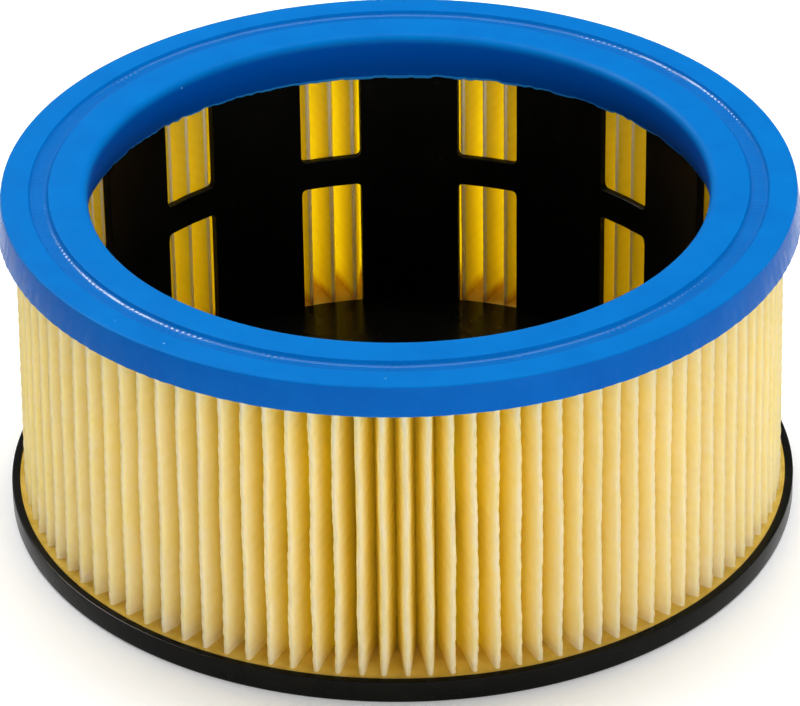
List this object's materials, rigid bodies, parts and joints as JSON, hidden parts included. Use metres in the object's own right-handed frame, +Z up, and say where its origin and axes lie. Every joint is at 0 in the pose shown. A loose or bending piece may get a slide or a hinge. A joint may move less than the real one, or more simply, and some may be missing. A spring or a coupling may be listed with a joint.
{
  "type": "vacuum cleaner filter cartridge",
  "caption": "Round pleated paper filter cartridge with a blue foam seal ring, a black windowed inner cage and a black base pan, open at the top to slip over a vacuum motor's basket.",
  "frame": {"origin": "centre of the base's underside, on the surface that the cartridge stands on", "axes": "+Z up along the cartridge's axis towards the open top, -Y the side that the picture shows in front"},
  "size_m": [0.225, 0.225, 0.099],
  "materials": {
    "seal_foam": "satin moulded polyurethane foam skin",
    "filter_paper": "matte embossed cellulose",
    "cage_plastic": "smooth moulded",
    "base_plastic": "smooth moulded",
    "potting_adhesive": "glossy cast adhesive"
  },
  "bodies": {
    "root": {"top_seal_ring": "seal_foam", "pleated_media": "filter_paper", "support_cage": "cage_plastic", "base_pan": "base_plastic", "base_potting": "potting_adhesive"}
  },
  "joints": []
}
